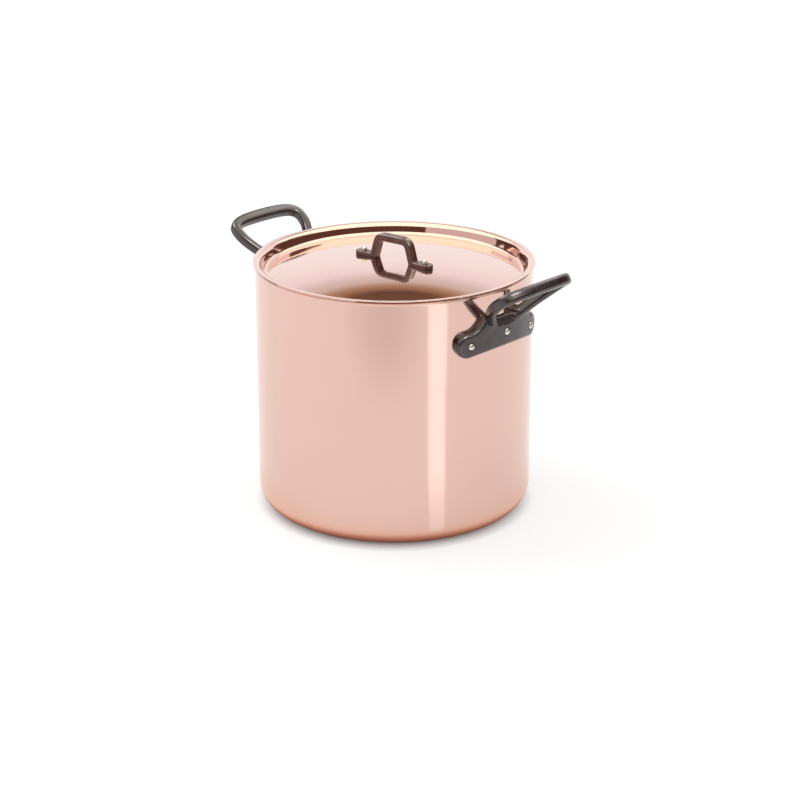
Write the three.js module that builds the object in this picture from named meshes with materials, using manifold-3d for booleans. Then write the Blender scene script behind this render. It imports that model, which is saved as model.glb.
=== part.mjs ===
// Copper stockpot with two riveted loop handles and a drop-in lid, in millimetres with +Z up.
// The origin is the centre of the flat base, and the two side handles lie along X.

import * as THREE from 'three';
import { mergeVertices } from 'three/addons/utils/BufferGeometryUtils.js';
import { TessellateModifier } from 'three/addons/modifiers/TessellateModifier.js';
import Module from 'manifold-3d';

const wasm = await Module();
wasm.setup();

const degrees = THREE.MathUtils.degToRad;

// Pot: a copper sheet with a thin stainless steel lining bonded inside it
const potBore = 280;
const potHeight = 258.5;
const potCopper = 1.7;
const potSteel = 0.25;
const bondGap = 0.05;
const baseCorner = 23.2;
const lipBend = 5;
const lipLength = 1.6;
const lipAngle = degrees(35);

// Lid: a flange on the pot's rim, a step that drops into the bore, and a low dome
const lidOverhang = 0.2;
const lidCopper = 1.5;
const lidSteel = 0.25;
const lidSeatGap = 0.3;
const lidPlay = 1.5;
const lidStep = 1;
const lidBend = 4;
const lidCove = 7;
const lidDomeRadius = 780;
const lidTurn = degrees(4);

// Side handle: a base plate curved to the wall, and a loop that leans outwards as it rises
const seatGap = 0.3;
const plateThickness = 8;
const plateBevel = 3;
const plateEndRadius = 14.2;
const plateEndSpacing = 93;
const plateDrop = 45.3;
const plateArch = 5.2;
const plateShoulderRise = 9.1;
const plateShoulderOverhang = 5;
const plateLedgeDrop = 4.5;
const plateLedgeInset = 6;
const loopFootSpacing = 42;
const loopFootDrop = 5;
const loopFootOffset = 5.7;
const loopRoot = 8;
const loopSplay = degrees(38);
const loopSpan = 103;
const loopSpanHeight = 44.5;
const loopReach = 66.5;
const loopLegWidth = 9;
const loopGripWidth = 12.8;
const loopLegPull = 18;
const loopOuterRise = 15.5;
const loopOuterRun = 42;
const loopInnerRise = 7;
const loopInnerRun = 34;
const loopSlope = degrees(53);
const loopLean = 150;
const loopThickness = 10;
const loopEdgeRound = 3.2;

// Rivets of the side handles, spaced along the outside of the wall
const rivetInset = 3;
const rivetEndDrop = 2.9;
const rivetMiddleRise = 3.3;
const rivetShank = 5.6;
const rivetHead = 7.4;
const rivetHeadHeight = 2.4;
const rivetRecessRim = 0.9;
const rivetRecessDepth = 0.8;
const rivetInnerHead = 16;
const rivetInnerHeight = 2.2;
const rivetPlay = 0.3;

// Lid handle: a bail on two flat tab feet, one rivet through each foot
const lidRivetSpacing = 78;
const bailFootInset = 12.5;
const bailLean = 8.2;
const bailRise = 22;
const bailCorner = 8;
const bailBarWidth = 9;
const bailBarThickness = 6.4;
const bailBarRound = 2.2;
const tabEnd = 9.5;
const tabWidth = 12;
const tabThickness = 4.2;
const tabBevel = 0.8;
const lidRivetShank = 5;
const lidRivetHead = 6.6;
const lidRivetHeadHeight = 4.6;
const lidRivetInnerHead = 12;
const lidRivetInnerHeight = 1.8;

// Fineness of the round forms
const roundSteps = 48;
const arcSteps = 3;
const rivetSteps = 12;
const loopSteps = 7;
const bailSteps = 20;
const plateEdge = 15;
const plateSplits = 8;

// Sizes that follow from the ones above
const boreRadius = potBore / 2;
const potSheet = potCopper + bondGap + potSteel;
const wallRadius = boreRadius + potSheet;
const facet = Math.cos(Math.PI / roundSteps);
const lipRadius = wallRadius + lipBend * (1 - Math.cos(lipAngle)) + lipLength * Math.sin(lipAngle);
const lidSheet = lidCopper + bondGap + lidSteel;
const lidTop = potHeight + lidSeatGap + lidSheet;
const lidRadius = lipRadius + lidOverhang;
const lidStepRadius = boreRadius - lidPlay - lidSheet;
const lidFloor = lidTop - lidBend - lidStep - lidCove;
const domeEdgeAngle = Math.asin((lidStepRadius - lidCove) / (lidDomeRadius + lidCove));
const domeCentre = lidFloor + lidCove - (lidDomeRadius + lidCove) * Math.cos(domeEdgeAngle);
const lidCrown = domeCentre + lidDomeRadius;
const plateEndHeight = potHeight - plateDrop;
const plateArchHeight = plateEndHeight - plateEndRadius + plateArch;
const plateShoulderHeight = plateEndHeight + plateEndRadius + plateShoulderRise;
const plateLedgeHeight = plateShoulderHeight - plateLedgeDrop;
const loopFootHeight = plateShoulderHeight - loopFootDrop;
const rivetSpacing = plateEndSpacing - 2 * rivetInset;
const rivetEndHeight = plateEndHeight - rivetEndDrop;
const rivetMiddleHeight = plateEndHeight + rivetMiddleRise;
const rivetRecess = rivetHead + 2 * rivetRecessRim;
const bailFootX = lidRivetSpacing / 2 - bailFootInset;
const tabLength = lidRivetSpacing + 2 * tabEnd;

const copperSatin = new THREE.MeshStandardMaterial({ color: '#d99a83', roughness: 0.32, metalness: 1 });
const copperPolished = new THREE.MeshStandardMaterial({ color: '#dda08a', roughness: 0.08, metalness: 1 });
const stainlessSteel = new THREE.MeshStandardMaterial({ color: '#c9c8c6', roughness: 0.3, metalness: 1 });
const castIron = new THREE.MeshStandardMaterial({ color: '#2b2a2b', roughness: 0.5, metalness: 0.7 });

// Closed solid of a geometry whose faces point outwards
function solidOf(geometry) {
  const bare = geometry.clone();
  bare.deleteAttribute('normal');
  bare.deleteAttribute('uv');
  const merged = mergeVertices(bare);
  const mesh = new wasm.Mesh({
    numProp: 3,
    vertProperties: new Float32Array(merged.attributes.position.array),
    triVerts: new Uint32Array(merged.index.array),
  });
  return new wasm.Manifold(mesh);
}

function node(name, solid, material) {
  const mesh = solid.getMesh();
  const geometry = new THREE.BufferGeometry();
  geometry.setAttribute('position', new THREE.BufferAttribute(mesh.vertProperties, 3));
  geometry.setIndex(new THREE.BufferAttribute(mesh.triVerts, 1));
  geometry.computeVertexNormals();
  const piece = new THREE.Mesh(geometry, material);
  piece.name = name;
  return piece;
}

// Points along a path of lines and arcs, moved to the left of the way that it runs
function offsetPoints(path, distance) {
  const points = [];
  for (const curve of path.curves) {
    const steps = curve.isLineCurve ? 1 : arcSteps;
    for (let step = points.length ? 1 : 0; step <= steps; step++) {
      const along = curve.getTangent(step / steps);
      const side = new THREE.Vector2(-along.y, along.x);
      points.push(curve.getPoint(step / steps).addScaledVector(side, distance));
    }
  }
  return points;
}

// Round sheet between two offsets of a path that starts on the axis
function roundSheet(path, near, far) {
  const section = [...offsetPoints(path, near), ...offsetPoints(path, far).reverse()];
  const geometry = new THREE.LatheGeometry(section, roundSteps);
  geometry.rotateX(Math.PI / 2);
  return solidOf(geometry);
}

function cylinder(diameter, height) {
  return new THREE.CylinderGeometry(diameter / 2, diameter / 2, height, rivetSteps);
}

// Moves every point of a geometry by a rule
function reshape(geometry, rule) {
  const position = geometry.attributes.position;
  const point = new THREE.Vector3();
  for (let index = 0; index < position.count; index++) {
    point.fromBufferAttribute(position, index);
    const moved = rule(point);
    position.setXYZ(index, moved.x, moved.y, moved.z);
  }
  return geometry;
}

// Bar of rounded section along a flat curve in the XY plane, its thickness along Z
function bar(path, width, thickness, round, steps) {
  const x = thickness / 2 - round;
  const y = width / 2 - round;
  const section = new THREE.Shape();
  section.absarc(x, y, round, 0, Math.PI / 2);
  section.absarc(-x, y, round, Math.PI / 2, Math.PI);
  section.absarc(-x, -y, round, Math.PI, 1.5 * Math.PI);
  section.absarc(x, -y, round, 1.5 * Math.PI, 2 * Math.PI);
  return new THREE.ExtrudeGeometry(section, { steps, extrudePath: path, curveSegments: 2 });
}

// Outside of the pot, from the middle of the base to the outer edge of the lip
function potPath() {
  const lipTop = potHeight - potSheet * Math.sin(lipAngle);
  const lipStart = lipTop - lipBend * Math.sin(lipAngle) - lipLength * Math.cos(lipAngle);
  const path = new THREE.Path();
  path.moveTo(0, 0);
  path.lineTo(wallRadius - baseCorner, 0);
  path.absarc(wallRadius - baseCorner, baseCorner, baseCorner, -Math.PI / 2, 0, false);
  path.lineTo(wallRadius, lipStart);
  path.absarc(wallRadius + lipBend, lipStart, lipBend, Math.PI, Math.PI - lipAngle, true);
  path.lineTo(lipRadius, lipTop);
  return path;
}

// Top of the lid, from the crown of the dome to the edge of the flange
function lidPath() {
  const path = new THREE.Path();
  path.moveTo(0, lidCrown);
  path.absarc(0, domeCentre, lidDomeRadius, Math.PI / 2, Math.PI / 2 - domeEdgeAngle, true);
  path.absarc(lidStepRadius - lidCove, lidFloor + lidCove, lidCove, -Math.PI / 2 - domeEdgeAngle, 0, false);
  path.lineTo(lidStepRadius, lidTop - lidBend);
  path.absarc(lidStepRadius + lidBend, lidTop - lidBend, lidBend, Math.PI, Math.PI / 2, true);
  path.lineTo(lidRadius, lidTop);
  return path;
}

// Places on one side handle's plate where the rivets pass, as an angle on the wall and a height
function rivetPlaces() {
  const turn = rivetSpacing / 2 / wallRadius;
  return [
    { label: 'front', angle: -turn, height: rivetEndHeight },
    { label: 'middle', angle: 0, height: rivetMiddleHeight },
    { label: 'back', angle: turn, height: rivetEndHeight },
  ];
}

// Round cutter along the radius of the pot at a rivet's place
function rivetCutter(place, diameter, from, to, side) {
  const geometry = cylinder(diameter, to - from);
  geometry.rotateZ(-Math.PI / 2);
  geometry.translate((from + to) / 2, 0, place.height);
  geometry.rotateZ(place.angle + side);
  return solidOf(geometry);
}

const sides = [
  { label: 'right', turn: 0 },
  { label: 'left', turn: Math.PI },
];

function pierceWall(solid) {
  let pierced = solid;
  for (const side of sides) {
    for (const place of rivetPlaces()) {
      const reach = potSheet + rivetPlay;
      const hole = rivetCutter(
        place, rivetShank + 2 * rivetPlay, boreRadius - reach, wallRadius + reach, side.turn);
      pierced = pierced.subtract(hole);
    }
  }
  return pierced;
}

// Flat outline of the plate: round ends, an arched lower edge, and shoulders that carry the loop's feet
function plateOutline() {
  const endX = plateEndSpacing / 2;
  const shoulderX = loopFootSpacing / 2 + plateShoulderOverhang;
  const ledgeX = loopFootSpacing / 2 - plateLedgeInset;
  const half = new THREE.Path();
  half.moveTo(0, plateArchHeight);
  half.quadraticCurveTo(endX / 2, plateArchHeight, endX, plateEndHeight - plateEndRadius);
  half.absarc(endX, plateEndHeight, plateEndRadius, -Math.PI / 2, Math.PI / 2, false);
  half.quadraticCurveTo(
    (endX + shoulderX) / 2, plateEndHeight + plateEndRadius, shoulderX, plateShoulderHeight);
  half.quadraticCurveTo(ledgeX, plateShoulderHeight, ledgeX, plateLedgeHeight);
  half.lineTo(0, plateLedgeHeight);
  const right = half.getPoints(2 * arcSteps);
  const left = right.slice(1, -1).reverse().map((point) => new THREE.Vector2(-point.x, point.y));
  return new THREE.Shape([...right, ...left]);
}

// Base plate, extruded flat with bevelled edges and bent round the pot's wall
function platePiece() {
  const behind = plateBevel + potSheet;
  const flat = new THREE.ExtrudeGeometry(plateOutline(), {
    depth: plateThickness + behind - 2 * plateBevel,
    bevelEnabled: true,
    bevelThickness: plateBevel,
    bevelSize: plateBevel,
    bevelOffset: -plateBevel,
    bevelSegments: 1,
    steps: 1,
  });
  flat.translate(0, 0, plateBevel - behind);
  const fine = new TessellateModifier(plateEdge, plateSplits).modify(flat);
  return reshape(fine, (point) => {
    const radius = wallRadius + seatGap + point.z;
    const angle = point.x / wallRadius;
    return new THREE.Vector3(radius * Math.cos(angle), radius * Math.sin(angle), point.y);
  });
}

// Half of one edge of the loop, drawn flat: X across the handle, Y away from the plate
function loopEdge(footX, wideX, end, rise, run) {
  const edge = new THREE.Path();
  const pullX = loopLegPull * Math.sin(loopSplay);
  const pullY = loopLegPull * Math.cos(loopSplay);
  edge.moveTo(footX, -loopRoot);
  edge.lineTo(footX, 0);
  edge.bezierCurveTo(
    footX + pullX, pullY, wideX, loopSpanHeight - loopLegPull, wideX, loopSpanHeight);
  edge.bezierCurveTo(wideX, loopSpanHeight + rise, run, end, 0, end);
  return edge.getPoints(loopSteps);
}

// Loop, cut flat from its outline and then leaned outwards along an arc that starts at the plate
function loopPiece() {
  const halfLeg = loopLegWidth / 2 / Math.cos(loopSplay);
  const footX = loopFootSpacing / 2;
  const outer = loopEdge(footX + halfLeg, loopSpan / 2, loopReach, loopOuterRise, loopOuterRun);
  const inner = loopEdge(
    footX - halfLeg, loopSpan / 2 - loopLegWidth, loopReach - loopGripWidth, loopInnerRise, loopInnerRun);
  const mirrored = (points) => points.map((point) => new THREE.Vector2(-point.x, point.y));
  const outline = new THREE.Shape([
    ...outer,
    ...mirrored(outer).reverse().slice(1),
    ...mirrored(inner),
    ...inner.slice(0, -1).reverse(),
  ]);
  const depth = loopThickness - 2 * loopEdgeRound;
  const flat = new THREE.ExtrudeGeometry(outline, {
    depth,
    bevelEnabled: true,
    bevelThickness: loopEdgeRound,
    bevelSize: loopEdgeRound,
    bevelOffset: -loopEdgeRound,
    bevelSegments: 2,
    steps: 1,
  });
  flat.translate(0, 0, -depth / 2);
  const footRadius = wallRadius + loopFootOffset;
  return reshape(flat, (point) => {
    const slope = loopSlope - point.y / loopLean;
    const arc = loopLean + point.z;
    return new THREE.Vector3(
      footRadius + loopLean * Math.sin(loopSlope) - arc * Math.sin(slope),
      -point.x,
      loopFootHeight - loopLean * Math.cos(loopSlope) + arc * Math.cos(slope),
    );
  });
}

function sideHandle() {
  const front = wallRadius + seatGap + plateThickness;
  const clearOfWall = new THREE.CylinderGeometry(
    wallRadius + seatGap, wallRadius + seatGap, 2 * potHeight, roundSteps);
  clearOfWall.rotateX(Math.PI / 2);
  let casting = solidOf(platePiece()).add(solidOf(loopPiece())).subtract(solidOf(clearOfWall));
  for (const place of rivetPlaces()) {
    const hole = rivetCutter(place, rivetShank + 2 * rivetPlay, boreRadius, front + plateThickness, 0);
    const recess = rivetCutter(place, rivetRecess, front - rivetRecessDepth, front + plateThickness, 0);
    casting = casting.subtract(hole).subtract(recess);
  }
  return casting;
}

// Rivet along Y: a domed head above zero, a shank through the grip, and a low wide head below it
function rivet(grip, shank, head, headHeight, innerHead, innerHeight) {
  const rimHeight = innerHeight / 3;
  const section = new THREE.Path();
  section.moveTo(0, -grip - innerHeight);
  section.quadraticCurveTo(innerHead / 3, -grip - innerHeight, innerHead / 2, -grip - rimHeight);
  section.lineTo(innerHead / 2, -grip);
  section.lineTo(shank / 2, -grip);
  section.lineTo(shank / 2, 0);
  section.lineTo(head / 2, 0);
  section.absellipse(0, 0, head / 2, headHeight, 0, Math.PI / 2, false);
  return new THREE.LatheGeometry(section.getPoints(arcSteps), rivetSteps);
}

function handleRivet() {
  const headSeat = wallRadius + seatGap + plateThickness - rivetRecessDepth + rivetPlay;
  const innerSeat = Math.sqrt((boreRadius * facet) ** 2 - (rivetInnerHead / 2) ** 2) - rivetPlay;
  const geometry = rivet(
    headSeat - innerSeat, rivetShank, rivetHead, rivetHeadHeight, rivetInnerHead, rivetInnerHeight);
  geometry.rotateZ(-Math.PI / 2);
  geometry.translate(headSeat, 0, 0);
  return solidOf(geometry);
}

// Height of the lid's top at a distance from its middle
function domeHeight(distance) {
  return domeCentre + Math.sqrt(lidDomeRadius ** 2 - distance ** 2);
}

const tabTop = domeHeight(lidRivetSpacing / 2) + seatGap + tabThickness;

// Bail drawn flat in the XY plane, from the tops of the feet, with rounded upper corners
function bailPath() {
  const bottom = -tabThickness - bailBarThickness / 2;
  const top = bailRise - bailBarThickness / 2;
  const cornerX = bailFootX - bailLean;
  const leg = new THREE.Vector3(cornerX - bailFootX, top - bottom, 0).normalize();
  const foot = new THREE.Vector3(bailFootX, bottom, 0);
  const corner = new THREE.Vector3(cornerX, top, 0);
  const legEnd = corner.clone().addScaledVector(leg, -bailCorner);
  const topEnd = new THREE.Vector3(cornerX - bailCorner, top, 0);
  const mirrored = (point) => new THREE.Vector3(-point.x, point.y, point.z);
  const path = new THREE.CurvePath();
  path.add(new THREE.LineCurve3(foot, legEnd));
  path.add(new THREE.QuadraticBezierCurve3(legEnd, corner, topEnd));
  path.add(new THREE.LineCurve3(topEnd, mirrored(topEnd)));
  path.add(new THREE.QuadraticBezierCurve3(mirrored(topEnd), mirrored(corner), mirrored(legEnd)));
  path.add(new THREE.LineCurve3(mirrored(legEnd), mirrored(foot)));
  return path;
}

// Flat foot of the bail, from under its leg to a round end
function tabPiece() {
  const half = tabWidth / 2;
  const inner = bailFootX - bailBarThickness / 2;
  const outer = tabLength / 2 - half;
  const outline = new THREE.Shape();
  outline.moveTo(inner, -bailBarWidth / 2);
  outline.lineTo(outer, -half);
  outline.absarc(outer, 0, half, -Math.PI / 2, Math.PI / 2, false);
  outline.lineTo(inner, bailBarWidth / 2);
  const geometry = new THREE.ExtrudeGeometry(outline, {
    depth: 2 * tabThickness - 2 * tabBevel,
    bevelEnabled: true,
    bevelThickness: tabBevel,
    bevelSize: tabBevel,
    bevelOffset: -tabBevel,
    bevelSegments: 1,
    curveSegments: 2 * arcSteps,
  });
  geometry.translate(0, 0, tabTop - 2 * tabThickness + tabBevel);
  return geometry;
}

// Hole through a foot of the bail, the lid and its lining
function lidRivetHole(side) {
  const geometry = cylinder(lidRivetShank + 2 * rivetPlay, 4 * tabThickness);
  geometry.rotateX(Math.PI / 2);
  geometry.translate(side * lidRivetSpacing / 2, 0, tabTop - tabThickness);
  return solidOf(geometry);
}

function pierceLid(solid) {
  return solid.subtract(lidRivetHole(1)).subtract(lidRivetHole(-1));
}

// Everything below a dome that lies one gap above the lid
function clearOfLid() {
  const section = new THREE.Path();
  section.moveTo(0, lidFloor - lidCove);
  section.lineTo(tabLength, lidFloor - lidCove);
  section.lineTo(tabLength, domeHeight(tabLength) + seatGap);
  const edge = Math.asin(tabLength / (lidDomeRadius + seatGap));
  section.absarc(0, domeCentre, lidDomeRadius + seatGap, Math.PI / 2 - edge, Math.PI / 2, false);
  const geometry = new THREE.LatheGeometry(section.getPoints(2 * arcSteps), roundSteps);
  geometry.rotateX(Math.PI / 2);
  return solidOf(geometry);
}

function lidHandle() {
  const bail = bar(bailPath(), bailBarThickness, bailBarWidth, bailBarRound, bailSteps);
  bail.rotateX(Math.PI / 2);
  bail.translate(0, 0, tabTop);
  const foot = solidOf(tabPiece());
  const otherFoot = solidOf(tabPiece().rotateZ(Math.PI));
  return pierceLid(solidOf(bail).add(foot).add(otherFoot).subtract(clearOfLid()));
}

function lidRivet() {
  const headSeat = tabTop + rivetPlay;
  const innerSeat = domeHeight((lidRivetSpacing + lidRivetInnerHead) / 2) - lidSheet - rivetPlay;
  const geometry = rivet(
    headSeat - innerSeat, lidRivetShank, lidRivetHead, lidRivetHeadHeight,
    lidRivetInnerHead, lidRivetInnerHeight);
  geometry.rotateX(Math.PI / 2);
  geometry.translate(0, 0, headSeat);
  return solidOf(geometry);
}

// The pot, with its handles and rivets
const pot = new THREE.Group();
const potOutside = potPath();
const potInner = potCopper + bondGap;
pot.add(node('pot_shell', pierceWall(roundSheet(potOutside, 0, potCopper)), copperSatin));
pot.add(node('pot_lining', pierceWall(roundSheet(potOutside, potInner, potSheet)), stainlessSteel));
for (const side of sides) {
  const handle = new THREE.Group();
  handle.rotation.z = side.turn;
  handle.add(node(`${side.label}_handle`, sideHandle(), castIron));
  for (const place of rivetPlaces()) {
    const pin = node(`${side.label}_handle_rivet_${place.label}`, handleRivet(), stainlessSteel);
    pin.rotation.z = place.angle;
    pin.position.z = place.height;
    handle.add(pin);
  }
  pot.add(handle);
}

// The lid, turned a little in its seat, with its handle and rivets
const lid = new THREE.Group();
lid.rotation.z = lidTurn;
const lidOutside = lidPath();
const lidInner = lidCopper + bondGap;
lid.add(node('lid_shell', pierceLid(roundSheet(lidOutside, -lidCopper, 0)), copperPolished));
lid.add(node('lid_lining', pierceLid(roundSheet(lidOutside, -lidSheet, -lidInner)), stainlessSteel));
lid.add(node('lid_handle', lidHandle(), castIron));
for (const end of [{ label: 'right', side: 1 }, { label: 'left', side: -1 }]) {
  const pin = node(`lid_rivet_${end.label}`, lidRivet(), stainlessSteel);
  pin.position.x = end.side * lidRivetSpacing / 2;
  lid.add(pin);
}

const stockpot = new THREE.Group();
stockpot.add(pot, lid);

export default stockpot;
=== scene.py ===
# Copper stockpot lined with stainless steel, with two riveted cast iron handles and a drop-in lid.
# Metres, +Z up: the pot stands on z = 0 about the origin, and its handles lie along X.

from math import asin, cos, degrees, hypot, pi, radians, sin, sqrt, tan

import bpy
from mathutils import Matrix, Vector
from mathutils.geometry import interpolate_bezier


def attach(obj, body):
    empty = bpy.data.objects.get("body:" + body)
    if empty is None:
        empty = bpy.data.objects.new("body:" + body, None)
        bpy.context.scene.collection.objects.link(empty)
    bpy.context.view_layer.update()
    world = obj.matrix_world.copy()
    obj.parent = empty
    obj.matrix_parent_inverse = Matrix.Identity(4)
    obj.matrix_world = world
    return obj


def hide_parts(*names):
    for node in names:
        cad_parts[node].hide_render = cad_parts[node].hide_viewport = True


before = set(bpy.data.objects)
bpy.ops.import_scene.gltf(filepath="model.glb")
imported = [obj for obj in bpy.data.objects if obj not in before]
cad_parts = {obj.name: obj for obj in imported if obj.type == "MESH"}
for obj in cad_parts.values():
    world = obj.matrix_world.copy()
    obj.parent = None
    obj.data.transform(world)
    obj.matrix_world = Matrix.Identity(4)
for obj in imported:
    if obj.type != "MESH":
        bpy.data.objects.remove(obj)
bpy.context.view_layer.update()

# Pot body: one copper sheet drawn into a straight-sided pot with a rounded base corner, and
# flared at the rim into a short lip. The outside is brushed round the pot to a soft shine.
# Sizes here and below are in millimetres, and mm turns them into metres.
mm = 0.001
weld = 0.002 * mm
round_steps = 256
hole_steps = 48
sheet_smooth = 30
wall_radius = 142.0
wall_rings = (80, 140, 190, 203, 206.5, 212.7, 214.1, 220.3, 224, 240)
copper = 1.7
base_corner = 23.2
lip_start = 255.2
lip_bend = 2.5
lip_angle = 35.0
lip_length = 1.3
rim_edge = 0.45
rivet_spacing = 43.5
rivet_turn = rivet_spacing / wall_radius
end_rivet_z = 210.3
middle_rivet_z = 216.5
rivet_places = {
    "front": (-rivet_turn, end_rivet_z),
    "middle": (0.0, middle_rivet_z),
    "back": (rivet_turn, end_rivet_z),
}
sides = {"right": 0.0, "left": pi}
rivet_hole = 6.2
drill_inside = wall_radius - 4.0
drill_outside = wall_radius + 2.0


def arc(centre, radius, start, end, steps):
    angles = [radians(start + (end - start) * i / steps) for i in range(steps + 1)]
    return [(centre[0] + radius * cos(a), centre[1] + radius * sin(a)) for a in angles]


def new_piece(name):
    """Empty mesh, left open for drawing."""
    bpy.ops.object.select_all(action="DESELECT")
    bpy.ops.mesh.primitive_plane_add(size=mm)
    piece = bpy.context.object
    piece.name = name
    piece.data.name = name
    bpy.ops.object.mode_set(mode="EDIT")
    bpy.ops.mesh.select_mode(type="VERT")
    bpy.ops.mesh.delete(type="VERT")
    return piece


def trace(points):
    """Draws a line in the open mesh: one vertex, extruded from point to point in millimetres."""
    bpy.ops.mesh.select_all(action="DESELECT")
    bpy.ops.mesh.primitive_plane_add(size=mm)
    bpy.ops.mesh.merge(type="CENTER")
    bpy.ops.transform.translate(value=Vector(points[0]) * mm)
    for here, there in zip(points, points[1:]):
        way = (Vector(there) - Vector(here)) * mm
        bpy.ops.mesh.extrude_vertices_move(TRANSFORM_OT_translate={"value": way})


def close_up(piece):
    """Merges the open mesh's doubles, turns its faces outwards and ends the drawing."""
    bpy.ops.mesh.select_all(action="SELECT")
    bpy.ops.mesh.remove_doubles(threshold=weld)
    bpy.ops.mesh.normals_make_consistent(inside=False)
    bpy.ops.object.mode_set(mode="OBJECT")
    return piece


def turned(name, outline, steps=round_steps):
    """Round piece spun about Z from an outline of (radius, height) points in millimetres."""
    piece = new_piece(name)
    trace([(radius, 0, height) for radius, height in outline])
    bpy.ops.mesh.select_all(action="SELECT")
    bpy.ops.mesh.spin(steps=steps, angle=2 * pi, center=(0, 0, 0), axis=(0, 0, 1))
    return close_up(piece)


def bevel_where(piece, test, offset, segments):
    """Bevels the edges whose two ends both pass a test on their place in millimetres."""
    mesh = piece.data
    for part in (mesh.polygons, mesh.edges, mesh.vertices):
        part.foreach_set("select", [False] * len(part))
    for edge in mesh.edges:
        edge.select = all(test(mesh.vertices[end].co / mm) for end in edge.vertices)
    bpy.context.view_layer.objects.active = piece
    bpy.ops.object.mode_set(mode="EDIT")
    bpy.ops.mesh.select_mode(type="EDGE")
    bpy.ops.mesh.bevel(offset=offset * mm, segments=segments, affect="EDGES")
    bpy.ops.object.mode_set(mode="OBJECT")


def on_rings(*rings):
    """Test for points on any of some rings, each given as (radius, height)."""
    near = 0.05
    return lambda p: any(abs(hypot(p.x, p.y) - r) < near and abs(p.z - z) < near for r, z in rings)


def cut(piece, cutter):
    bpy.context.view_layer.objects.active = piece
    modifier = piece.modifiers.new("cut", "BOOLEAN")
    modifier.operation = "DIFFERENCE"
    modifier.solver = "EXACT"
    modifier.object = cutter
    bpy.ops.object.modifier_apply(modifier=modifier.name)
    bpy.data.objects.remove(cutter)


def drill(piece, diameter, near, far, angle, height):
    """Cuts a round hole along the pot's radius, from one distance to another."""
    middle = (near + far) / 2
    bpy.ops.object.select_all(action="DESELECT")
    bpy.ops.mesh.primitive_cylinder_add(
        vertices=hole_steps, radius=diameter / 2 * mm, depth=(far - near) * mm,
        location=(middle * cos(angle) * mm, middle * sin(angle) * mm, height * mm),
        rotation=(0, pi / 2, angle))
    cut(piece, bpy.context.object)


def shade(piece, angle):
    bpy.ops.object.select_all(action="DESELECT")
    piece.select_set(True)
    bpy.context.view_layer.objects.active = piece
    bpy.ops.object.shade_smooth_by_angle(angle=radians(angle))


def brushed_metal(name, colour, shade_colour, roughness, swing, relief, stretch):
    """Metal with fine lines that run round the pot's axis, from the wheel that finished it."""
    line_scale = (9, 9, 1500)
    pattern_low = 0.3
    pattern_high = 0.7
    material = bpy.data.materials.new(name)
    material.use_nodes = True
    nodes = material.node_tree.nodes
    link = material.node_tree.links.new
    shader = nodes["Principled BSDF"]
    shader.inputs["Metallic"].default_value = 1.0
    shader.inputs["Anisotropic"].default_value = stretch
    shader.inputs["Anisotropic Rotation"].default_value = 0.25
    tangent = nodes.new("ShaderNodeTangent")
    tangent.direction_type = "RADIAL"
    tangent.axis = "Z"
    link(tangent.outputs["Tangent"], shader.inputs["Tangent"])
    place = nodes.new("ShaderNodeTexCoord").outputs["Object"]
    level = nodes.new("ShaderNodeVectorMath")
    level.operation = "MULTIPLY"
    level.inputs[1].default_value = (1, 1, 0)
    link(place, level.inputs[0])
    radius = nodes.new("ShaderNodeVectorMath")
    radius.operation = "LENGTH"
    link(level.outputs["Vector"], radius.inputs[0])
    split = nodes.new("ShaderNodeSeparateXYZ")
    link(place, split.inputs["Vector"])
    along = nodes.new("ShaderNodeMath")
    along.operation = "ADD"
    link(radius.outputs["Value"], along.inputs[0])
    link(split.outputs["Z"], along.inputs[1])
    across = nodes.new("ShaderNodeCombineXYZ")
    link(split.outputs["X"], across.inputs["X"])
    link(split.outputs["Y"], across.inputs["Y"])
    link(along.outputs["Value"], across.inputs["Z"])
    drawn_out = nodes.new("ShaderNodeMapping")
    drawn_out.inputs["Scale"].default_value = line_scale
    link(across.outputs["Vector"], drawn_out.inputs["Vector"])
    lines = nodes.new("ShaderNodeTexNoise")
    lines.inputs["Scale"].default_value = 1.0
    lines.inputs["Detail"].default_value = 3.0
    link(drawn_out.outputs["Vector"], lines.inputs["Vector"])
    clouds = nodes.new("ShaderNodeTexNoise")
    clouds.inputs["Scale"].default_value = 14.0
    clouds.inputs["Detail"].default_value = 3.0
    link(place, clouds.inputs["Vector"])
    both = nodes.new("ShaderNodeMix")
    both.inputs["Factor"].default_value = 0.45
    link(lines.outputs["Fac"], both.inputs["A"])
    link(clouds.outputs["Fac"], both.inputs["B"])
    gloss = nodes.new("ShaderNodeMapRange")
    gloss.inputs["From Min"].default_value = pattern_low
    gloss.inputs["From Max"].default_value = pattern_high
    gloss.inputs["To Min"].default_value = roughness - swing
    gloss.inputs["To Max"].default_value = roughness + swing
    link(both.outputs["Result"], gloss.inputs["Value"])
    link(gloss.outputs["Result"], shader.inputs["Roughness"])
    tone = nodes.new("ShaderNodeValToRGB")
    tone.color_ramp.elements[0].position = pattern_low
    tone.color_ramp.elements[0].color = (*shade_colour, 1)
    tone.color_ramp.elements[1].position = pattern_high
    tone.color_ramp.elements[1].color = (*colour, 1)
    link(both.outputs["Result"], tone.inputs["Fac"])
    link(tone.outputs["Color"], shader.inputs["Base Color"])
    scratch = nodes.new("ShaderNodeBump")
    scratch.inputs["Strength"].default_value = relief
    scratch.inputs["Distance"].default_value = 0.05 * mm
    link(lines.outputs["Fac"], scratch.inputs["Height"])
    link(scratch.outputs["Normal"], shader.inputs["Normal"])
    return material


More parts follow.
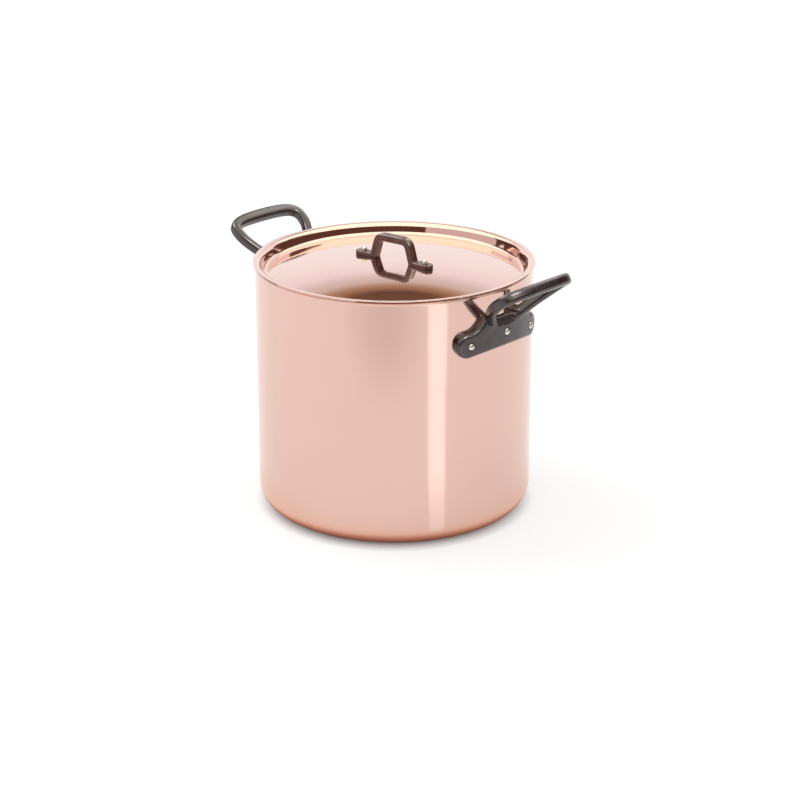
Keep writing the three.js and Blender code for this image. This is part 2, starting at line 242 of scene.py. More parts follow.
def pot_outline(near, far, lip_reach):
    """Closed outline of the pot's sheet between two depths in from its outside."""
    flare = radians(lip_angle)

    def skin(depth):
        bend = lip_bend + depth
        end = (wall_radius + lip_bend - bend * cos(flare) + lip_reach * sin(flare),
               lip_start + bend * sin(flare) + lip_reach * cos(flare))
        return [
            (0, depth),
            *arc((wall_radius - base_corner, base_corner), base_corner - depth, -90, 0, steps=20),
            *[(wall_radius - depth, height) for height in wall_rings],
            *arc((wall_radius + lip_bend, lip_start), bend, 180, 180 - lip_angle, steps=8),
            end,
        ]

    return skin(near) + skin(far)[::-1]


def rim_corners(outline):
    """The two corners at a sheet's edge, where its outline turns back along the other side."""
    half = len(outline) // 2
    return outline[half - 1], outline[half]


pot_section = pot_outline(0, copper, lip_length)
pot_body = turned("copper_pot_body", pot_section)
bevel_where(pot_body, on_rings(*rim_corners(pot_section)), rim_edge, segments=3)
for side in sides.values():
    for angle, height in rivet_places.values():
        drill(pot_body, rivet_hole, drill_inside, drill_outside, side + angle, height)
shade(pot_body, sheet_smooth)
pot_body.data.materials.append(brushed_metal(
    "satin_copper", colour=(0.755, 0.51, 0.44), shade_colour=(0.735, 0.49, 0.42),
    roughness=0.13, swing=0.03, relief=0.15, stretch=0.6))
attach(pot_body, "pot")
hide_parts("pot_shell")

# Pot lining: a thin skin of stainless steel bonded all over the inside of the copper, and ending
# just short of the lip's edge. It is brushed round, and it is what the food touches.
steel_depth = 1.75
steel = 0.25
lining_setback = 1.0
pot_lining = turned("steel_pot_lining", pot_outline(
    steel_depth, steel_depth + steel, lip_length - lining_setback))
for side in sides.values():
    for angle, height in rivet_places.values():
        drill(pot_lining, rivet_hole, drill_inside, drill_outside, side + angle, height)
shade(pot_lining, sheet_smooth)
lining_steel = brushed_metal(
    "brushed_steel", colour=(0.78, 0.765, 0.745), shade_colour=(0.69, 0.68, 0.665),
    roughness=0.3, swing=0.06, relief=0.35, stretch=0.6)
pot_lining.data.materials.append(lining_steel)
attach(pot_lining, "pot")
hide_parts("pot_lining")

# Side handles: one iron casting each, a plate that hugs the wall and a loop that leans outwards
# from two bosses on it. The sand mould leaves a fine grain, and the edges are ground soft.
# Three rivets hold each plate to the wall.
seat_gap = 0.3
plate_thickness = 8.0
plate_behind = 3.0
plate_round = 4.0
plate_half_width = 58
plate_strip = 2
plate_end_x = 45.8
plate_end_z = 210.6
plate_end_radius = 12.6
plate_arch_z = 202.0
plate_front = wall_radius + seat_gap + plate_thickness
shoulder_x = 26.0
shoulder_z = 236.5
ledge_x = 15.0
ledge_z = 232.0
ledge_cut_width = 27.0
ledge_cut_low = 224.5
ledge_rise = radians(36)
loop_foot_x = 21.0
loop_foot_z = 231.5
loop_foot_radius = wall_radius + 5.7
loop_root = 8.0
loop_splay = radians(38)
loop_half_span = 51.5
loop_span_height = 44.5
loop_reach = 66.5
loop_leg_width = 9.8
loop_grip_width = 12.8
loop_leg_pull = 18.0
loop_outer_rise = 15.5
loop_outer_run = 42.0
loop_inner_rise = 7.0
loop_inner_run = 34.0
loop_slope = radians(53)
loop_lean = 150.0
loop_thickness = 11.5
loop_edge_round = 3.9
boss_x = 20.0
boss_width = 12.5
boss_front = 152.0
boss_depth = 9.0
boss_low = 225.8
boss_high = 236.0
boss_round = 2.8
rivet_recess = 9.2
rivet_recess_depth = 0.8
drill_past = 8.0
wall_block_height = 600.0
casting_voxel = 0.5
casting_smooth = 40
touch = 0.01


def curve(start, pull_a, pull_b, end, steps):
    """Points along a bent line drawn with two pulls, without its first point."""
    points = interpolate_bezier(*[Vector((*p, 0)) for p in (start, pull_a, pull_b, end)], steps + 1)
    return [(p.x, p.y) for p in points[1:]]


def bow(start, pull, end, steps):
    """Points along a bent line drawn with one pull, without its first point."""
    ease = [tuple((a + 2 * b) / 3 for a, b in zip(tip, pull)) for tip in (start, end)]
    return curve(start, ease[0], ease[1], end, steps)


def mirrored(points):
    return [(-x, y) for x, y in points]


def reshape(piece, rule):
    """Moves every vertex by a rule on its place in millimetres."""
    for vertex in piece.data.vertices:
        vertex.co = Vector(rule(*(vertex.co / mm))) * mm
    piece.data.update()


def handle_plate():
    """Plate drawn flat and then bent round the wall, from one lobe over the arch to the other."""
    lobe_foot = (plate_end_x, plate_end_z - plate_end_radius)
    lobe_pull = ((plate_end_x + shoulder_x) / 2, plate_end_z + plate_end_radius)
    half = [(0, plate_arch_z)]
    half += bow(half[-1], (plate_end_x / 2, plate_arch_z), lobe_foot, steps=12)
    half += arc((plate_end_x, plate_end_z), plate_end_radius, -90, 90, steps=24)[1:]
    half += bow(half[-1], lobe_pull, (shoulder_x, shoulder_z), steps=10)
    half += bow(half[-1], (ledge_x, shoulder_z), (ledge_x, ledge_z), steps=6)
    half += [(0, ledge_z)]
    outline = half + mirrored(half)[-2:0:-1]
    plate = new_piece("handle_plate")
    trace([(x, -plate_behind, z) for x, z in outline])
    bpy.ops.mesh.select_all(action="SELECT")
    bpy.ops.mesh.edge_face_add()
    bpy.ops.mesh.extrude_region_move(
        TRANSFORM_OT_translate={"value": (0, (plate_thickness + plate_behind) * mm, 0)})
    close_up(plate)
    bevel_where(plate, lambda p: p.y > plate_thickness - touch, plate_round, segments=4)
    bpy.ops.object.mode_set(mode="EDIT")
    for strip in range(-plate_half_width, plate_half_width + plate_strip, plate_strip):
        bpy.ops.mesh.select_all(action="SELECT")
        bpy.ops.mesh.bisect(plane_co=(strip * mm, 0, 0), plane_no=(1, 0, 0))
    close_up(plate)
    reshape(plate, lambda x, y, z: (
        (wall_radius + seat_gap + y) * cos(x / wall_radius),
        (wall_radius + seat_gap + y) * sin(x / wall_radius), z))
    return plate


def boss(side):
    """Block on the plate that a leg of the loop grows out of."""
    angle = side * boss_x / wall_radius
    middle = boss_front - boss_depth / 2
    place = Vector((middle * cos(angle), middle * sin(angle), (boss_low + boss_high) / 2))
    bpy.ops.object.select_all(action="DESELECT")
    bpy.ops.mesh.primitive_cube_add(
        size=mm, location=place * mm, rotation=(0, 0, angle),
        scale=(boss_depth, boss_width, boss_high - boss_low))
    bpy.ops.object.transform_apply()
    bpy.ops.object.mode_set(mode="EDIT")
    bpy.ops.mesh.select_all(action="SELECT")
    bpy.ops.mesh.bevel(offset=boss_round * mm, segments=3, affect="EDGES")
    bpy.ops.object.mode_set(mode="OBJECT")
    return bpy.context.object


def cut_ledge(plate):
    """Slopes the plate's front edge back between the two bosses."""
    reach = 14.0
    back = (ledge_z - ledge_cut_low) * tan(ledge_rise)
    middle = Vector((plate_front - back / 2, 0, (ledge_z + ledge_cut_low) / 2))
    middle += Vector((cos(ledge_rise), 0, sin(ledge_rise))) * reach / 2
    bpy.ops.object.select_all(action="DESELECT")
    bpy.ops.mesh.primitive_cube_add(
        size=mm, location=middle * mm, rotation=(0, pi / 2 - ledge_rise, 0),
        scale=(reach, ledge_cut_width, reach))
    cut(plate, bpy.context.object)


def flat_bar(name, outer, inner, thickness, edge_round):
    """Bar between two drawn lines in the XY plane, with its edges rounded."""
    piece = new_piece(name)
    trace([(x, y, -thickness / 2) for x, y in outer])
    trace([(x, y, -thickness / 2) for x, y in inner])
    bpy.ops.mesh.select_all(action="SELECT")
    bpy.ops.mesh.bridge_edge_loops()
    bpy.ops.mesh.select_all(action="SELECT")
    bpy.ops.mesh.extrude_region_move(TRANSFORM_OT_translate={"value": (0, 0, thickness * mm)})
    bpy.ops.mesh.select_all(action="SELECT")
    bpy.ops.mesh.normals_make_consistent(inside=False)
    bpy.ops.mesh.select_all(action="DESELECT")
    bpy.ops.mesh.select_mode(type="EDGE")
    bpy.ops.mesh.edges_select_sharp(sharpness=radians(60))
    bpy.ops.mesh.bevel(offset=edge_round * mm, segments=5, affect="EDGES")
    return close_up(piece)


def loop_edge(foot, wide, end, rise, run):
    """One edge of the loop, from foot to foot, as drawn flat."""
    pull = (loop_leg_pull * sin(loop_splay), loop_leg_pull * cos(loop_splay))
    half = [(foot, -loop_root), (foot, 0)]
    half += curve(
        half[-1], (foot + pull[0], pull[1]), (wide, loop_span_height - loop_leg_pull),
        (wide, loop_span_height), steps=24)
    half += curve(half[-1], (wide, loop_span_height + rise), (run, end), (0, end), steps=24)
    return half + mirrored(half)[-2::-1]


def handle_loop():
    half_leg = loop_leg_width / 2 / cos(loop_splay)
    outer = loop_edge(
        loop_foot_x + half_leg, loop_half_span, loop_reach, loop_outer_rise, loop_outer_run)
    inner = loop_edge(
        loop_foot_x - half_leg, loop_half_span - loop_leg_width, loop_reach - loop_grip_width,
        loop_inner_rise, loop_inner_run)
    loop = flat_bar("handle_loop", outer, inner, loop_thickness, loop_edge_round)

    def lean(x, y, z):
        slope = loop_slope - y / loop_lean
        return (loop_foot_radius + loop_lean * sin(loop_slope) - (loop_lean + z) * sin(slope), -x,
                loop_foot_z - loop_lean * cos(loop_slope) + (loop_lean + z) * cos(slope))

    reshape(loop, lean)
    return loop


def fuse(pieces, voxel, rounds):
    """Runs joined pieces together into one casting, with small fillets where they meet."""
    bpy.ops.object.select_all(action="DESELECT")
    for piece in pieces:
        piece.select_set(True)
    bpy.context.view_layer.objects.active = pieces[0]
    bpy.ops.object.join()
    casting = bpy.context.object
    skin = casting.modifiers.new("skin", "REMESH")
    skin.mode = "VOXEL"
    skin.voxel_size = voxel * mm
    ease = casting.modifiers.new("ease", "SMOOTH")
    ease.factor = 0.5
    ease.iterations = rounds
    bpy.ops.object.modifier_apply(modifier=skin.name)
    bpy.ops.object.modifier_apply(modifier=ease.name)
    return casting


def cast_iron(name, dark, light):
    """Iron with the fine grain of its sand mould, and broad patches of tone."""
    material = bpy.data.materials.new(name)
    material.use_nodes = True
    nodes = material.node_tree.nodes
    link = material.node_tree.links.new
    shader = nodes["Principled BSDF"]
    shader.inputs["IOR"].default_value = 1.75
    shader.inputs["Specular Tint"].default_value = (1, 0.88, 0.9, 1)
    place = nodes.new("ShaderNodeTexCoord").outputs["Object"]
    grain = nodes.new("ShaderNodeTexNoise")
    grain.inputs["Scale"].default_value = 750.0
    grain.inputs["Detail"].default_value = 4.0
    link(place, grain.inputs["Vector"])
    patches = nodes.new("ShaderNodeTexNoise")
    patches.inputs["Scale"].default_value = 90.0
    patches.inputs["Detail"].default_value = 4.0
    link(place, patches.inputs["Vector"])
    tone = nodes.new("ShaderNodeValToRGB")
    tone.color_ramp.elements[0].position = 0.32
    tone.color_ramp.elements[0].color = (*dark, 1)
    tone.color_ramp.elements[1].position = 0.72
    tone.color_ramp.elements[1].color = (*light, 1)
    link(patches.outputs["Fac"], tone.inputs["Fac"])
    link(tone.outputs["Color"], shader.inputs["Base Color"])
    gloss = nodes.new("ShaderNodeMapRange")
    gloss.inputs["From Min"].default_value = 0.3
    gloss.inputs["From Max"].default_value = 0.7
    gloss.inputs["To Min"].default_value = 0.15
    gloss.inputs["To Max"].default_value = 0.29
    link(grain.outputs["Fac"], gloss.inputs["Value"])
    link(gloss.outputs["Result"], shader.inputs["Roughness"])
    skin = nodes.new("ShaderNodeBump")
    skin.inputs["Strength"].default_value = 0.3
    skin.inputs["Distance"].default_value = 0.2 * mm
    link(grain.outputs["Fac"], skin.inputs["Height"])
    link(skin.outputs["Normal"], shader.inputs["Normal"])
    return material


iron = cast_iron("dark_cast_iron", dark=(0.006, 0.004, 0.004), light=(0.022, 0.016, 0.017))
plate = handle_plate()
cut_ledge(plate)
right_handle = fuse([plate, handle_loop(), boss(1), boss(-1)], casting_voxel, rounds=4)
right_handle.name = right_handle.data.name = "right_loop_handle"
bpy.ops.object.select_all(action="DESELECT")
bpy.ops.mesh.primitive_cylinder_add(
    vertices=round_steps, radius=(wall_radius + seat_gap) * mm, depth=wall_block_height * mm)
cut(right_handle, bpy.context.object)
recess_floor = plate_front - rivet_recess_depth
for angle, height in rivet_places.values():
    drill(right_handle, rivet_hole, wall_radius - drill_past, plate_front + drill_past, angle, height)
    drill(right_handle, rivet_recess, recess_floor, plate_front + drill_past, angle, height)
shade(right_handle, casting_smooth)
right_handle.data.materials.clear()
right_handle.data.materials.append(iron)
left_handle = right_handle.copy()
left_handle.data = right_handle.data.copy()
left_handle.name = left_handle.data.name = "left_loop_handle"
bpy.context.scene.collection.objects.link(left_handle)
left_handle.data.transform(Matrix.Rotation(pi, 4, "Z"))
for handle, node in ((right_handle, "right_handle"), (left_handle, "left_handle")):
    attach(handle, "pot")
    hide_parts(node)

# Handle rivets: six stainless steel rivets, driven from inside the pot, with a wide low head on
# the lining and a small domed end closed over in a recess of the plate.
rivet_steps = 48
rivet_shank = 5.6
rivet_end = 7.4
rivet_end_height = 2.4
rivet_head = 16.0
rivet_head_height = 2.2
rivet_play = 0.3
rivet_end_seat = recess_floor + rivet_play
bore_radius = wall_radius - steel_depth - steel
bore_flats = 48
bore_reach = bore_radius * cos(pi / bore_flats)
rivet_head_seat = sqrt(bore_reach ** 2 - (rivet_head / 2) ** 2) - rivet_play


def rivet(name, grip, shank, end, end_height, head, head_height):
    """Rivet along Z: its closed end above zero, its shank, and its wide head below the grip."""
    dome_step = 9
    rim = head_height / 3
    under = [(0, -grip - head_height)]
    under += bow(under[0], (head / 3, -grip - head_height), (head / 2, -grip - rim), steps=10)
    rises = [radians(angle) for angle in range(0, 90, dome_step)]
    dome = [(end / 2 * cos(rise), end_height * sin(rise)) for rise in rises]
    outline = [*under, (head / 2, -grip), (shank / 2, -grip), (shank / 2, 0), *dome, (0, end_height)]
    return turned(name, outline, rivet_steps)


rivet_steel = brushed_metal(
    "rivet_steel", colour=(0.72, 0.71, 0.69), shade_colour=(0.58, 0.57, 0.56),
    roughness=0.3, swing=0.06, relief=0.2, stretch=0.0)
pattern = rivet(
    "rivet_pattern", rivet_end_seat - rivet_head_seat, rivet_shank, rivet_end, rivet_end_height,
    rivet_head, rivet_head_height)
shade(pattern, casting_smooth)
pattern.data.materials.append(rivet_steel)
for side_name, side in sides.items():
    for label, (angle, height) in rivet_places.items():
        pin = pattern.copy()
        pin.data = pattern.data.copy()
        pin.name = pin.data.name = f"{side_name}_plate_rivet_{label}"
        bpy.context.scene.collection.objects.link(pin)
        pin.data.transform(
            Matrix.Translation((0, 0, height * mm)) @ Matrix.Rotation(side + angle, 4, "Z")
            @ Matrix.Translation((rivet_end_seat * mm, 0, 0)) @ Matrix.Rotation(pi / 2, 4, "Y"))
        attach(pin, "pot")
        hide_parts(f"{side_name}_handle_rivet_{label}")
bpy.data.objects.remove(pattern)

# Lid: a disc of copper pressed to a low dome, with a step that drops into the pot and a narrow
# flange that rests on the lip. It is polished to a mirror, and it lies turned by a few degrees.
lid_radius = 144.02
lid_top = 260.6
lid_copper = 1.5
lid_crown = 259.36
lid_bend = 5.2
lid_cove = 4.0
lid_cove_at = 129.7
lid_wall_lean = 17.0
lid_edge = 0.15
lid_edge_lean = 17.0
lid_turn = radians(4)
dome_radius = 780.0
dome_centre = lid_crown - dome_radius
dome_angle = degrees(asin(lid_cove_at / (dome_radius + lid_cove)))
lid_rivet_x = 39.0
lid_hole = 5.6
lid_drill_z = 260.0
lid_drill_depth = 30.0


def lid_outline(near, far, radius):
    """Closed outline of the lid's sheet between two depths below its top."""
    lean = radians(lid_wall_lean)
    cove_z = dome_centre + (dome_radius + lid_cove) * cos(radians(dome_angle))
    bend_z = lid_top - lid_bend
    wall_rise = bend_z + lid_bend * sin(lean) - (cove_z - lid_cove * sin(lean))
    bend_at = lid_cove_at + (lid_cove + lid_bend) * cos(lean) + wall_rise * tan(lean)

    def skin(depth):
        return [
            *arc((0, dome_centre), dome_radius - depth, 90, 90 - dome_angle, steps=40),
            *arc((lid_cove_at, cove_z), lid_cove + depth, -90 - dome_angle, -lid_wall_lean, steps=36)[1:],
            *arc((bend_at, bend_z), lid_bend - depth, 180 - lid_wall_lean, 90, steps=24),
            ((bend_at + radius) / 2, lid_top - depth),
            (radius - (far - depth) * tan(radians(lid_edge_lean)), lid_top - depth),
        ]

    return skin(near) + skin(far)[::-1]


def drill_lid(piece):
    """Cuts the lid's two rivet holes through a piece of it."""
    for x in (-lid_rivet_x, lid_rivet_x):
        bpy.ops.object.select_all(action="DESELECT")
        bpy.ops.mesh.primitive_cylinder_add(
            vertices=hole_steps, radius=lid_hole / 2 * mm, depth=lid_drill_depth * mm,
            location=(x * cos(lid_turn) * mm, x * sin(lid_turn) * mm, lid_drill_z * mm))
        cut(piece, bpy.context.object)


lid_section = lid_outline(0, lid_copper, lid_radius)
lid = turned("copper_lid", lid_section)
bevel_where(lid, on_rings(*rim_corners(lid_section)), lid_edge, segments=3)
drill_lid(lid)
shade(lid, sheet_smooth)
lid.data.materials.append(brushed_metal(
    "polished_copper", colour=(0.87, 0.63, 0.565), shade_colour=(0.85, 0.605, 0.535),
    roughness=0.06, swing=0.02, relief=0.02, stretch=0.0))
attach(lid, "lid")
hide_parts("lid_shell")

# Lid lining: the same thin skin of brushed stainless steel, bonded to the lid's underside. It
# stops short of the flange's edge, which is copper all through.
lid_steel_depth = 1.55
lid_lining_inset = 2.0
lid_lining = turned("steel_lid_lining", lid_outline(
    lid_steel_depth, lid_steel_depth + steel, lid_radius - lid_lining_inset))
drill_lid(lid_lining)
shade(lid_lining, sheet_smooth)
lid_lining.data.materials.append(lining_steel)
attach(lid_lining, "lid")
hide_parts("lid_lining")

# Lid handle: an iron bail, cast in one with two flat tabs that lie along the dome. Its iron is tinted
# warm brown, a painted reflection of the copper lid around it. One rivet passes through each tab.
bail_foot_x = 26.3
bail_corner_x = 18.6
bail_rise = 23.0
bail_corner = 7.0
bail_width = 9.6
bail_thickness = 8.0
bail_round = 2.2
bail_voxel = 0.35
tab_end_x = 48.5
tab_width = 12.0
tab_thickness = 4.2
tab_stock = 2 * tab_thickness
tab_chamfer = 0.8
tab_top = dome_centre + sqrt(dome_radius ** 2 - lid_rivet_x ** 2) + seat_gap + tab_thickness
dome_block_radius = 90.0
dome_block_floor = lid_crown - 30.0
dome_block_steps = 128


def bail_edge(offset):
    """Line of the bail moved outwards from its middle line, from one foot to the other."""
    low = -tab_thickness - bail_thickness / 2
    high = bail_rise - bail_thickness / 2
    leg = Vector((bail_corner_x - bail_foot_x, high - low)).normalized()
    foot = Vector((bail_foot_x, low))
    corner = Vector((bail_corner_x, high))
    start = corner - leg * bail_corner
    end = corner - Vector((bail_corner, 0))
    middle = [tuple(foot), tuple(start), *bow(start, corner, end, steps=10), (0, high)]
    half = []
    for i, point in enumerate(middle):
        before = middle[max(i - 1, 0)]
        after = middle[min(i + 1, len(middle) - 1)]
        way = (Vector(after) - Vector(before)).normalized()
        half.append((point[0] + way.y * offset, point[1] - way.x * offset))
    return half + mirrored(half)[-2::-1]


def tab(side):
    """Flat foot of the bail with a round end, cut to the dome later."""
    half = tab_width / 2
    inner = bail_foot_x - bail_thickness / 2
    round_end = arc((tab_end_x - half, 0), half, -90, 90, steps=20)
    outline = [(inner, -bail_width / 2), *round_end, (inner, bail_width / 2)]
    piece = new_piece("bail_tab")
    trace([(side * x, side * y, tab_top - tab_stock) for x, y in outline])
    bpy.ops.mesh.select_all(action="SELECT")
    bpy.ops.mesh.edge_face_add()
    bpy.ops.mesh.extrude_region_move(TRANSFORM_OT_translate={"value": (0, 0, tab_stock * mm)})
    close_up(piece)
    bevel_where(piece, lambda p: p.z > tab_top - touch, tab_chamfer, segments=2)
    return piece


bail = flat_bar(
    "lid_bail", bail_edge(bail_thickness / 2), bail_edge(-bail_thickness / 2), bail_width, bail_round)
reshape(bail, lambda x, y, z: (x, -z, tab_top + y))
bail = fuse([bail, tab(1), tab(-1)], bail_voxel, rounds=3)
bail.name = bail.data.name = "lid_bail_handle"
dome_block_angle = degrees(asin(dome_block_radius / dome_radius))
dome_block_top = arc((0, dome_centre), dome_radius + seat_gap, 90 - dome_block_angle, 90, steps=24)
cut(bail, turned(
    "dome_block", [(0, dome_block_floor), (dome_block_radius, dome_block_floor), *dome_block_top],
    dome_block_steps))
bail.data.transform(Matrix.Rotation(lid_turn, 4, "Z"))
drill_lid(bail)
shade(bail, casting_smooth)
bail.data.materials.clear()
# The bail's warm brown tone is a painted reflection of the copper lid, not a finish of the iron.
bail.data.materials.append(
    cast_iron("iron_tinted_by_painted_copper_reflection", dark=(0.02, 0.007, 0.004), light=(0.08, 0.032, 0.021)))
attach(bail, "lid")
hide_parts("lid_handle")

# Lid rivets: two stainless steel rivets, one through each tab, the copper and its lining. Their
# tall domed ends stand above the tabs, and their low heads lie under the lid.
lid_rivet_shank = 5.0
lid_rivet_end = 6.6
lid_rivet_end_height = 4.6
lid_rivet_head = 12.0
lid_rivet_head_height = 1.8
lid_rivet_seat = tab_top + rivet_play
lid_head_edge = lid_rivet_x + lid_rivet_head / 2
lid_underside = dome_centre + sqrt(dome_radius ** 2 - lid_head_edge ** 2) - lid_steel_depth - steel
lid_head_seat = lid_underside - rivet_play
lid_pattern = rivet(
    "lid_rivet_pattern", lid_rivet_seat - lid_head_seat, lid_rivet_shank, lid_rivet_end,
    lid_rivet_end_height, lid_rivet_head, lid_rivet_head_height)
shade(lid_pattern, casting_smooth)
lid_pattern.data.materials.append(rivet_steel)
for label, x in (("right", lid_rivet_x), ("left", -lid_rivet_x)):
    pin = lid_pattern.copy()
    pin.data = lid_pattern.data.copy()
    pin.name = pin.data.name = f"{label}_tab_rivet"
    bpy.context.scene.collection.objects.link(pin)
    pin.data.transform(
        Matrix.Rotation(lid_turn, 4, "Z") @ Matrix.Translation((x * mm, 0, lid_rivet_seat * mm)))
    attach(pin, "lid")
    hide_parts(f"lid_rivet_{label}")
bpy.data.objects.remove(lid_pattern)

# Studio: a lit white table in a soft white room with a warm bright ceiling. The ceiling, dark and dim
# parts of the room, a dark gap overhead, a bright strip and a warm copper tint on the table show only as
# reflections in
# the metal: they are painted reflections. The table's glow fades near the pot's foot, a painted shadow.
# Three lights reach the iron alone. None of it belongs to the pot.
table_size = 40000.0
room_radius = 2980.0
front_radius = 2990.0
front_low = 1500.0
front_high = 2200.0
ceiling_radius = 3000.0
ceiling_low = 2150.0
ceiling_high = 3900.0
card_steps = 48
dim_table_azimuth = 36
dim_table_distance = 830.0
dim_table_lift = Vector((0, 0, 2.0))
gap_azimuth = 222.2
gap_elevation = 45.5
gap_distance = 3000.0
gap_top_share = 0.1
foot_lift = Vector((0, 0, 1.0))
foot_reach = 220.0
strip_z = 3.0
strip_outline = (
    (132, -81), (1500, -580), (1500, -155), (770, -107), (560, -105), (340, -83), (139, -65))
light_distance = 2500.0
light_target = Vector((0, 0, 150.0))


def aim(azimuth, elevation):
    """Direction away from the pot: azimuth 0 lies in front of it and 90 at its right."""
    turn = radians(azimuth)
    rise = radians(elevation)
    return Vector((sin(turn) * cos(rise), -cos(turn) * cos(rise), sin(rise)))


def only_reflected(card):
    card.visible_camera = False
    card.visible_diffuse = False
    card.visible_shadow = False


def plain(name, colour, glow):
    material = bpy.data.materials.new(name)
    material.use_nodes = True
    shader = material.node_tree.nodes["Principled BSDF"]
    shader.inputs["Base Color"].default_value = (*colour, 1)
    shader.inputs["Roughness"].default_value = 0.8
    shader.inputs["Specular IOR Level"].default_value = 0.0
    shader.inputs["Emission Color"].default_value = (*glow, 1)
    shader.inputs["Emission Strength"].default_value = 1.0
    return material


def curved_card(name, line, azimuth, width, material):
    """Card swept round the pot from a line of (distance, height) points in millimetres."""
    card = new_piece(name)
    trace([(distance, 0, height) for distance, height in line])
    bpy.ops.mesh.select_all(action="SELECT")
    bpy.ops.mesh.spin(steps=card_steps, angle=radians(width), center=(0, 0, 0), axis=(0, 0, 1))
    bpy.ops.object.mode_set(mode="OBJECT")
    card.data.transform(Matrix.Rotation(radians(azimuth - 90 + width / 2), 4, "Z"))
    card.data.materials.append(material)
    only_reflected(card)


def soft_card(name, place, facing, half_width, half_height, tones):
    """Card that tints what lies behind it, most in its middle and not at all at its edge."""
    clear_from = 0.95
    bpy.ops.object.select_all(action="DESELECT")
    bpy.ops.mesh.primitive_plane_add(size=2, location=place * mm)
    card = bpy.context.object
    card.name = name
    card.scale = (half_width * mm, half_height * mm, 1)
    card.rotation_mode = "QUATERNION"
    card.rotation_quaternion = facing
    veil = bpy.data.materials.new(name + "_veil")
    veil.use_nodes = True
    nodes = veil.node_tree.nodes
    link = veil.node_tree.links.new
    nodes.remove(nodes["Principled BSDF"])
    reach = nodes.new("ShaderNodeVectorMath")
    reach.operation = "LENGTH"
    link(nodes.new("ShaderNodeTexCoord").outputs["Object"], reach.inputs[0])
    ramp = nodes.new("ShaderNodeValToRGB")
    link(reach.outputs["Value"], ramp.inputs["Fac"])
    ramp.color_ramp.elements[0].position, colour = tones[0]
    ramp.color_ramp.elements[0].color = (*colour, 1)
    ramp.color_ramp.elements[1].position = clear_from
    ramp.color_ramp.elements[1].color = (1, 1, 1, 1)
    for position, colour in tones[1:]:
        ramp.color_ramp.elements.new(position).color = (*colour, 1)
    clear = nodes.new("ShaderNodeBsdfTransparent")
    link(ramp.outputs["Color"], clear.inputs["Color"])
    link(clear.outputs["BSDF"], nodes["Material Output"].inputs["Surface"])
    card.data.materials.append(veil)
    only_reflected(card)
    return card


def glow_by_distance(material, near, far, low, high):
    """Lets a glow change with its distance in millimetres from the middle of the pot."""
    nodes = material.node_tree.nodes
    link = material.node_tree.links.new
    distance = nodes.new("ShaderNodeVectorMath")
    distance.operation = "LENGTH"
    link(nodes.new("ShaderNodeTexCoord").outputs["Object"], distance.inputs[0])
    glow = nodes.new("ShaderNodeMapRange")
    glow.inputs["From Min"].default_value = near * mm
    glow.inputs["From Max"].default_value = far * mm
    glow.inputs["To Min"].default_value = low
    glow.inputs["To Max"].default_value = high
    link(distance.outputs["Value"], glow.inputs["Value"])
    link(glow.outputs["Result"], nodes["Principled BSDF"].inputs["Emission Strength"])


def soft_light(name, azimuth, elevation, width, height, power):
    lamp = bpy.data.lights.new(name, "AREA")
    lamp.shape = "RECTANGLE"
    lamp.size = width * mm
    lamp.size_y = height * mm
    lamp.energy = power
    holder = bpy.data.objects.new(name, lamp)
    bpy.context.scene.collection.objects.link(holder)
    away = aim(azimuth, elevation)
    holder.location = (away * light_distance + light_target) * mm
    holder.rotation_mode = "QUATERNION"
    holder.rotation_quaternion = away.to_track_quat("Z", "Y")
    holder.visible_camera = False
    return holder


bpy.ops.object.select_all(action="DESELECT")
bpy.ops.mesh.primitive_plane_add(size=table_size * mm)
table = bpy.context.object
table.name = "white_table"
table_top = plain("lit_table_with_painted_foot_shadow", colour=(0.42, 0.42, 0.42), glow=(1, 1, 1))
# The table's glow fades to nothing towards the pot's foot: a painted shadow round the foot.
glow_by_distance(table_top, near=119, far=146, low=0.0, high=0.59)
table.data.materials.append(table_top)
# The dark and dim room cards glow faintly and show only in the metal: painted reflections, the unlit ones
# tinted warm brown.
unlit = plain("unlit_room", colour=(0, 0, 0), glow=(0.115, 0.05, 0.035))
dim = plain("dim_room", colour=(0, 0, 0), glow=(0.72, 0.6, 0.6))
for name, bottom, top, azimuth, width, material in (
        ("dark_room_in_front", 20, 1575, 93.5, 161, unlit),
        ("dark_room_at_right", 2040, 2220, 140, 44, unlit),
        ("dark_corner_at_right", 1860, 2040, 149, 24, unlit),
        ("dark_room_at_left", 150, 1700, 280, 38, unlit),
        ("dark_room_behind_left", 150, 650, 243, 14, unlit),
        ("dark_room_behind_right", 150, 500, 203, 20, unlit),
        ("dim_room_at_left", 150, 1575, 336, 74, dim)):
    curved_card(name, [(room_radius, bottom), (room_radius, top)], azimuth, width, material)
# The ceiling and the bright band in front are glowing cards seen only in the metal: painted reflections
# of a bright room.
ceiling = plain("warm_ceiling", colour=(0, 0, 0), glow=(1.6, 1.6, 1.38))
curved_card(
    "bright_ceiling", [(ceiling_radius, ceiling_low), (ceiling_radius, ceiling_high), (0, ceiling_high)],
    azimuth=0, width=360, material=ceiling)
curved_card(
    "bright_front", [(front_radius, front_low), (front_radius, front_high)],
    azimuth=30, width=190, material=ceiling)
# A veil in front, seen only in the metal, darkens the table's reflection: painted shade in the
# reflection.
soft_card(
    "dim_table_in_front", place=aim(dim_table_azimuth, 0) * dim_table_distance + dim_table_lift,
    facing=Matrix.Rotation(radians(dim_table_azimuth), 3, "Z").to_quaternion(),
    half_width=600, half_height=300,
    tones=[(0.1, (0.78, 0.74, 0.72)), (0.5, (0.9, 0.88, 0.87))])
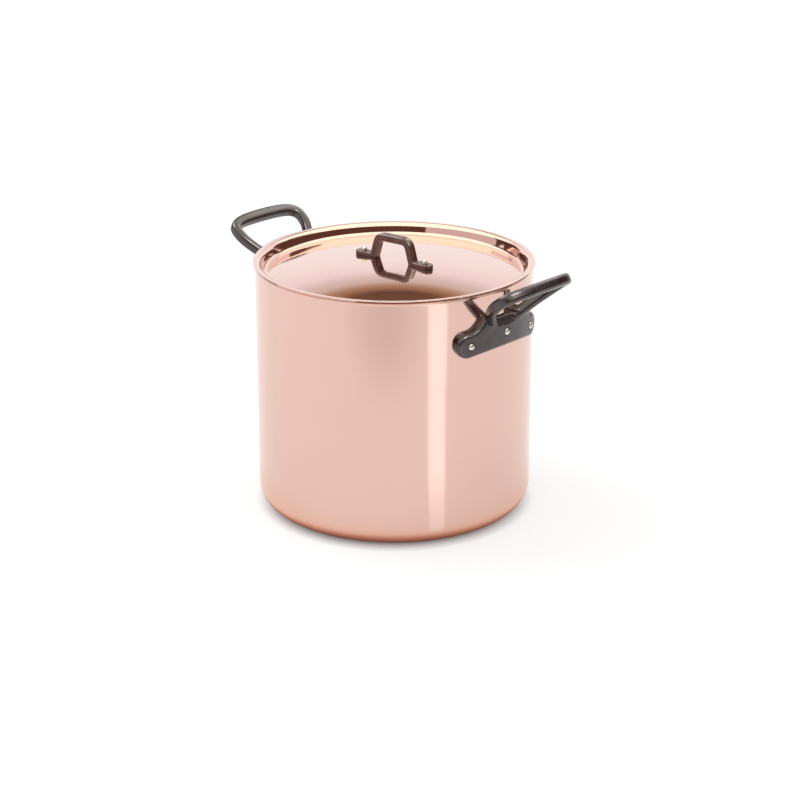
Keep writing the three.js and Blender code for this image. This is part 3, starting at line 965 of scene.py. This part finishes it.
# Painted reflection: a veil seen only in the metal, dark and warm brown in its middle, paints the dark
# spot on the lid's far side.
gap_way = aim(gap_azimuth, gap_elevation)
gap = soft_card(
    "dark_gap_between_lights", place=gap_way * gap_distance, facing=gap_way.to_track_quat("Z", "Y"),
    half_width=1300, half_height=1400, tones=[
        (0.36, (0.11, 0.058, 0.043)), (0.41, (0.344, 0.187, 0.115)), (0.47, (0.47, 0.32, 0.214)),
        (0.53, (0.675, 0.6, 0.553)), (0.6, (0.728, 0.682, 0.678)), (0.66, (0.824, 0.778, 0.779)),
        (0.73, (0.936, 0.893, 0.93))])
for vertex in gap.data.vertices:
    vertex.co.y = min(vertex.co.y, gap_top_share)
# A veil on the table, seen only in the metal, darkens and warms it near the foot: painted shade and a
# painted copper reflection in the base corner.
soft_card(
    "painted_copper_reflection_at_foot", place=foot_lift, facing=Matrix.Identity(3).to_quaternion(),
    half_width=foot_reach, half_height=foot_reach, tones=[
        (0.605, (0.64, 0.34, 0.25)), (0.641, (0.87, 0.57, 0.44)), (0.686, (0.98, 0.86, 0.78)),
        (0.76, (1, 0.92, 0.85)), (0.9, (1, 0.97, 0.94))])
# Painted highlight: a glowing strip on the table, seen only in the copper, paints the upright stripe on
# the pot's right side; it glows more away from the pot.
strip = new_piece("bright_strip_at_right")
trace([(x, y, strip_z) for x, y in strip_outline])
bpy.ops.mesh.select_all(action="SELECT")
bpy.ops.mesh.edge_face_add()
bpy.ops.object.mode_set(mode="OBJECT")
strip_light = plain("bright_strip", colour=(0, 0, 0), glow=(1, 1, 1))
glow_by_distance(strip_light, near=150, far=320, low=1.0, high=1.55)
strip.data.materials.append(strip_light)
only_reflected(strip)
world = bpy.data.worlds.new("white_room")
bpy.context.scene.world = world
world.use_nodes = True
world.node_tree.nodes["Background"].inputs["Color"].default_value = (1, 1, 1, 1)
world.node_tree.nodes["Background"].inputs["Strength"].default_value = 1.05
back_light = soft_light("back_light_left", azimuth=290, elevation=55, width=1400, height=1000, power=14)
back_light.visible_glossy = False
iron_pieces = bpy.data.collections.new("iron_pieces")
for piece in (right_handle, left_handle, bail):
    iron_pieces.objects.link(piece)
for name, azimuth, elevation, width, height, power in (
        ("handle_light_back", 194, 40, 900, 600, 4.5),
        ("handle_light_right", 88, 50, 1400, 1200, 48),
        ("handle_light_left", 293, 45, 1200, 1000, 27)):
    holder = soft_light(name, azimuth, elevation, width, height, power)
    holder.light_linking.receiver_collection = iron_pieces

# Camera: where the photograph was taken from, in front of the pot towards its right handle and
# above the rim. A long lens from about two metres keeps the sides of the pot nearly upright.
# Its place and its target are in metres.
camera = bpy.data.objects.new("camera", bpy.data.cameras.new("camera"))
bpy.context.scene.collection.objects.link(camera)
camera.location = (1.3972, -1.5320, 0.8822)
camera_target = Vector((0.00447, 0.00406, 0.10711))
camera.rotation_euler = (camera_target - camera.location).to_track_quat("-Z", "Y").to_euler()
camera.data.sensor_width = 36
camera.data.lens = 95.385
camera.data.clip_end = 100
bpy.context.scene.camera = camera
bpy.context.scene.view_settings.view_transform = "Standard"
